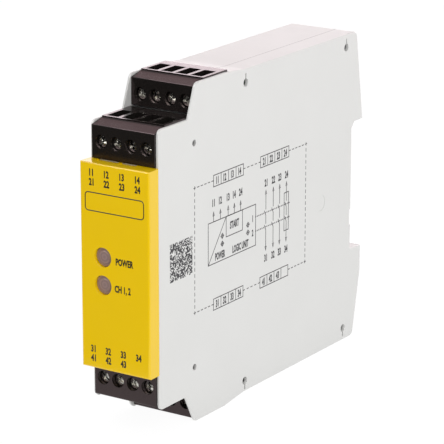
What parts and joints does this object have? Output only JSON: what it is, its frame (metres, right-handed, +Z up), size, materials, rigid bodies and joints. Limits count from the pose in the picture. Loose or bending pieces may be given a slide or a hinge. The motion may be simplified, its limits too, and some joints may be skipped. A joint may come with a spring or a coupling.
{
  "type": "safety relay",
  "caption": "Slim stepped safety relay for a 35 mm rail, with plug-in screw terminal blocks, a latched front cover with status windows and a sprung rail foot.",
  "frame": {"origin": "centre of the seat face that lies on the 35 mm rail", "axes": "+Z up, +Y from the front cover towards the rail, +X to the right seen from the front"},
  "size_m": [0.023, 0.1145, 0.099],
  "materials": {
    "housing_polyamide": "light grey moulded, fine spark texture",
    "cover_polyamide": "yellow moulded, satin, with dark print",
    "window_polycarbonate": "smoky translucent moulded",
    "board_laminate": "green solder mask",
    "relay_case": "dark moulded case",
    "capacitor_sleeve": "shrunk sleeve",
    "chip_resin": "moulded resin",
    "lamp_epoxy": "cast clear epoxy",
    "foot_polyamide": "black moulded",
    "spring_steel": "drawn wire",
    "terminal_polyamide": "black moulded, semi-gloss",
    "contact_copper": "stamped bar",
    "pin_tin": "tinned",
    "screw_zinc": "zinc plated",
    "cage_steel": "zinc plated"
  },
  "bodies": {
    "housing": {"housing_base": "housing_polyamide", "side_cover": "housing_polyamide", "front_cover": "cover_polyamide", "status_window_upper": "window_polycarbonate", "status_window_lower": "window_polycarbonate", "main_board": "board_laminate", "relay_k1": "relay_case", "relay_k2": "relay_case", "supply_capacitor": "capacitor_sleeve", "small_capacitors": "capacitor_sleeve", "control_chip": "chip_resin", "status_leds": "lamp_epoxy", "foot_spring": "spring_steel", "upper_front_pins": "pin_tin", "upper_rear_pins": "pin_tin", "lower_front_pins": "pin_tin", "lower_rear_pins": "pin_tin"},
    "rail_foot": {"rail_foot": "foot_polyamide"},
    "upper_front_terminal": {"upper_front_terminal": "terminal_polyamide", "upper_front_contacts": "contact_copper"},
    "upper_front_screw_1": {"upper_front_screw_1": "screw_zinc"},
    "upper_front_cage_1": {"upper_front_cage_1": "cage_steel"},
    "upper_front_screw_2": {"upper_front_screw_2": "screw_zinc"},
    "upper_front_cage_2": {"upper_front_cage_2": "cage_steel"},
    "upper_front_screw_3": {"upper_front_screw_3": "screw_zinc"},
    "upper_front_cage_3": {"upper_front_cage_3": "cage_steel"},
    "upper_front_screw_4": {"upper_front_screw_4": "screw_zinc"},
    "upper_front_cage_4": {"upper_front_cage_4": "cage_steel"},
    "upper_rear_terminal": {"upper_rear_terminal": "terminal_polyamide", "upper_rear_contacts": "contact_copper"},
    "upper_rear_screw_1": {"upper_rear_screw_1": "screw_zinc"},
    "upper_rear_cage_1": {"upper_rear_cage_1": "cage_steel"},
    "upper_rear_screw_2": {"upper_rear_screw_2": "screw_zinc"},
    "upper_rear_cage_2": {"upper_rear_cage_2": "cage_steel"},
    "upper_rear_screw_3": {"upper_rear_screw_3": "screw_zinc"},
    "upper_rear_cage_3": {"upper_rear_cage_3": "cage_steel"},
    "upper_rear_screw_4": {"upper_rear_screw_4": "screw_zinc"},
    "upper_rear_cage_4": {"upper_rear_cage_4": "cage_steel"},
    "lower_front_terminal": {"lower_front_terminal": "terminal_polyamide", "lower_front_contacts": "contact_copper"},
    "lower_front_screw_1": {"lower_front_screw_1": "screw_zinc"},
    "lower_front_cage_1": {"lower_front_cage_1": "cage_steel"},
    "lower_front_screw_2": {"lower_front_screw_2": "screw_zinc"},
    "lower_front_cage_2": {"lower_front_cage_2": "cage_steel"},
    "lower_front_screw_3": {"lower_front_screw_3": "screw_zinc"},
    "lower_front_cage_3": {"lower_front_cage_3": "cage_steel"},
    "lower_front_screw_4": {"lower_front_screw_4": "screw_zinc"},
    "lower_front_cage_4": {"lower_front_cage_4": "cage_steel"},
    "lower_rear_terminal": {"lower_rear_terminal": "terminal_polyamide", "lower_rear_contacts": "contact_copper"},
    "lower_rear_screw_1": {"lower_rear_screw_1": "screw_zinc"},
    "lower_rear_cage_1": {"lower_rear_cage_1": "cage_steel"},
    "lower_rear_screw_2": {"lower_rear_screw_2": "screw_zinc"},
    "lower_rear_cage_2": {"lower_rear_cage_2": "cage_steel"},
    "lower_rear_screw_3": {"lower_rear_screw_3": "screw_zinc"},
    "lower_rear_cage_3": {"lower_rear_cage_3": "cage_steel"},
    "lower_rear_screw_4": {"lower_rear_screw_4": "screw_zinc"},
    "lower_rear_cage_4": {"lower_rear_cage_4": "cage_steel"}
  },
  "joints": [
    {"name": "rail_foot_slide", "type": "slide", "parent": "housing", "child": "rail_foot", "axis": [0, 0, -1], "range_m": [0, 0.004], "stiffness_N_per_m": 3000, "springref_m": -0.002, "deforming": ["foot_spring"]},
    {"name": "upper_front_plug", "type": "slide", "parent": "housing", "child": "upper_front_terminal", "axis": [0, -1, 0], "range_m": [0, 0.02]},
    {"name": "upper_front_screw_1_turn", "type": "hinge", "parent": "upper_front_terminal", "child": "upper_front_screw_1", "pos_m": [-0.0075, -0.1027, 0.03375], "axis": [0, 1, 0], "range_deg": [0, 1800]},
    {"name": "upper_front_cage_1_draw", "type": "slide", "parent": "upper_front_terminal", "child": "upper_front_cage_1", "axis": [0, -1, 0], "range_m": [0, 0.00225]},
    {"name": "upper_front_screw_2_turn", "type": "hinge", "parent": "upper_front_terminal", "child": "upper_front_screw_2", "pos_m": [-0.0025, -0.1027, 0.03375], "axis": [0, 1, 0], "range_deg": [0, 1800]},
    {"name": "upper_front_cage_2_draw", "type": "slide", "parent": "upper_front_terminal", "child": "upper_front_cage_2", "axis": [0, -1, 0], "range_m": [0, 0.00225]},
    {"name": "upper_front_screw_3_turn", "type": "hinge", "parent": "upper_front_terminal", "child": "upper_front_screw_3", "pos_m": [0.0025, -0.1027, 0.03375], "axis": [0, 1, 0], "range_deg": [0, 1800]},
    {"name": "upper_front_cage_3_draw", "type": "slide", "parent": "upper_front_terminal", "child": "upper_front_cage_3", "axis": [0, -1, 0], "range_m": [0, 0.00225]},
    {"name": "upper_front_screw_4_turn", "type": "hinge", "parent": "upper_front_terminal", "child": "upper_front_screw_4", "pos_m": [0.0075, -0.1027, 0.03375], "axis": [0, 1, 0], "range_deg": [0, 1800]},
    {"name": "upper_front_cage_4_draw", "type": "slide", "parent": "upper_front_terminal", "child": "upper_front_cage_4", "axis": [0, -1, 0], "range_m": [0, 0.00225]},
    {"name": "upper_rear_plug", "type": "slide", "parent": "housing", "child": "upper_rear_terminal", "axis": [0, -1, 0], "range_m": [0, 0.02]},
    {"name": "upper_rear_screw_1_turn", "type": "hinge", "parent": "upper_rear_terminal", "child": "upper_rear_screw_1", "pos_m": [-0.0075, -0.0839, 0.0434], "axis": [0, 1, 0], "range_deg": [0, 1800]},
    {"name": "upper_rear_cage_1_draw", "type": "slide", "parent": "upper_rear_terminal", "child": "upper_rear_cage_1", "axis": [0, -1, 0], "range_m": [0, 0.00225]},
    {"name": "upper_rear_screw_2_turn", "type": "hinge", "parent": "upper_rear_terminal", "child": "upper_rear_screw_2", "pos_m": [-0.0025, -0.0839, 0.0434], "axis": [0, 1, 0], "range_deg": [0, 1800]},
    {"name": "upper_rear_cage_2_draw", "type": "slide", "parent": "upper_rear_terminal", "child": "upper_rear_cage_2", "axis": [0, -1, 0], "range_m": [0, 0.00225]},
    {"name": "upper_rear_screw_3_turn", "type": "hinge", "parent": "upper_rear_terminal", "child": "upper_rear_screw_3", "pos_m": [0.0025, -0.0839, 0.0434], "axis": [0, 1, 0], "range_deg": [0, 1800]},
    {"name": "upper_rear_cage_3_draw", "type": "slide", "parent": "upper_rear_terminal", "child": "upper_rear_cage_3", "axis": [0, -1, 0], "range_m": [0, 0.00225]},
    {"name": "upper_rear_screw_4_turn", "type": "hinge", "parent": "upper_rear_terminal", "child": "upper_rear_screw_4", "pos_m": [0.0075, -0.0839, 0.0434], "axis": [0, 1, 0], "range_deg": [0, 1800]},
    {"name": "upper_rear_cage_4_draw", "type": "slide", "parent": "upper_rear_terminal", "child": "upper_rear_cage_4", "axis": [0, -1, 0], "range_m": [0, 0.00225]},
    {"name": "lower_front_plug", "type": "slide", "parent": "housing", "child": "lower_front_terminal", "axis": [0, -1, 0], "range_m": [0, 0.02]},
    {"name": "lower_front_screw_1_turn", "type": "hinge", "parent": "lower_front_terminal", "child": "lower_front_screw_1", "pos_m": [-0.0075, -0.1027, -0.03445], "axis": [0, 1, 0], "range_deg": [0, 1800]},
    {"name": "lower_front_cage_1_draw", "type": "slide", "parent": "lower_front_terminal", "child": "lower_front_cage_1", "axis": [0, -1, 0], "range_m": [0, 0.00225]},
    {"name": "lower_front_screw_2_turn", "type": "hinge", "parent": "lower_front_terminal", "child": "lower_front_screw_2", "pos_m": [-0.0025, -0.1027, -0.03445], "axis": [0, 1, 0], "range_deg": [0, 1800]},
    {"name": "lower_front_cage_2_draw", "type": "slide", "parent": "lower_front_terminal", "child": "lower_front_cage_2", "axis": [0, -1, 0], "range_m": [0, 0.00225]},
    {"name": "lower_front_screw_3_turn", "type": "hinge", "parent": "lower_front_terminal", "child": "lower_front_screw_3", "pos_m": [0.0025, -0.1027, -0.03445], "axis": [0, 1, 0], "range_deg": [0, 1800]},
    {"name": "lower_front_cage_3_draw", "type": "slide", "parent": "lower_front_terminal", "child": "lower_front_cage_3", "axis": [0, -1, 0], "range_m": [0, 0.00225]},
    {"name": "lower_front_screw_4_turn", "type": "hinge", "parent": "lower_front_terminal", "child": "lower_front_screw_4", "pos_m": [0.0075, -0.1027, -0.03445], "axis": [0, 1, 0], "range_deg": [0, 1800]},
    {"name": "lower_front_cage_4_draw", "type": "slide", "parent": "lower_front_terminal", "child": "lower_front_cage_4", "axis": [0, -1, 0], "range_m": [0, 0.00225]},
    {"name": "lower_rear_plug", "type": "slide", "parent": "housing", "child": "lower_rear_terminal", "axis": [0, -1, 0], "range_m": [0, 0.02]},
    {"name": "lower_rear_screw_1_turn", "type": "hinge", "parent": "lower_rear_terminal", "child": "lower_rear_screw_1", "pos_m": [-0.0075, -0.0839, -0.0446], "axis": [0, 1, 0], "range_deg": [0, 1800]},
    {"name": "lower_rear_cage_1_draw", "type": "slide", "parent": "lower_rear_terminal", "child": "lower_rear_cage_1", "axis": [0, -1, 0], "range_m": [0, 0.00225]},
    {"name": "lower_rear_screw_2_turn", "type": "hinge", "parent": "lower_rear_terminal", "child": "lower_rear_screw_2", "pos_m": [-0.0025, -0.0839, -0.0446], "axis": [0, 1, 0], "range_deg": [0, 1800]},
    {"name": "lower_rear_cage_2_draw", "type": "slide", "parent": "lower_rear_terminal", "child": "lower_rear_cage_2", "axis": [0, -1, 0], "range_m": [0, 0.00225]},
    {"name": "lower_rear_screw_3_turn", "type": "hinge", "parent": "lower_rear_terminal", "child": "lower_rear_screw_3", "pos_m": [0.0025, -0.0839, -0.0446], "axis": [0, 1, 0], "range_deg": [0, 1800]},
    {"name": "lower_rear_cage_3_draw", "type": "slide", "parent": "lower_rear_terminal", "child": "lower_rear_cage_3", "axis": [0, -1, 0], "range_m": [0, 0.00225]},
    {"name": "lower_rear_screw_4_turn", "type": "hinge", "parent": "lower_rear_terminal", "child": "lower_rear_screw_4", "pos_m": [0.0075, -0.0839, -0.0446], "axis": [0, 1, 0], "range_deg": [0, 1800]},
    {"name": "lower_rear_cage_4_draw", "type": "slide", "parent": "lower_rear_terminal", "child": "lower_rear_cage_4", "axis": [0, -1, 0], "range_m": [0, 0.00225]}
  ],
  "couplings": [
    {"joint": "upper_front_screw_1_turn", "follows": "upper_front_cage_1_draw", "rad_per_m": 13963},
    {"joint": "upper_front_screw_2_turn", "follows": "upper_front_cage_2_draw", "rad_per_m": 13963},
    {"joint": "upper_front_screw_3_turn", "follows": "upper_front_cage_3_draw", "rad_per_m": 13963},
    {"joint": "upper_front_screw_4_turn", "follows": "upper_front_cage_4_draw", "rad_per_m": 13963},
    {"joint": "upper_rear_screw_1_turn", "follows": "upper_rear_cage_1_draw", "rad_per_m": 13963},
    {"joint": "upper_rear_screw_2_turn", "follows": "upper_rear_cage_2_draw", "rad_per_m": 13963},
    {"joint": "upper_rear_screw_3_turn", "follows": "upper_rear_cage_3_draw", "rad_per_m": 13963},
    {"joint": "upper_rear_screw_4_turn", "follows": "upper_rear_cage_4_draw", "rad_per_m": 13963},
    {"joint": "lower_front_screw_1_turn", "follows": "lower_front_cage_1_draw", "rad_per_m": 13963},
    {"joint": "lower_front_screw_2_turn", "follows": "lower_front_cage_2_draw", "rad_per_m": 13963},
    {"joint": "lower_front_screw_3_turn", "follows": "lower_front_cage_3_draw", "rad_per_m": 13963},
    {"joint": "lower_front_screw_4_turn", "follows": "lower_front_cage_4_draw", "rad_per_m": 13963},
    {"joint": "lower_rear_screw_1_turn", "follows": "lower_rear_cage_1_draw", "rad_per_m": 13963},
    {"joint": "lower_rear_screw_2_turn", "follows": "lower_rear_cage_2_draw", "rad_per_m": 13963},
    {"joint": "lower_rear_screw_3_turn", "follows": "lower_rear_cage_3_draw", "rad_per_m": 13963},
    {"joint": "lower_rear_screw_4_turn", "follows": "lower_rear_cage_4_draw", "rad_per_m": 13963}
  ]
}
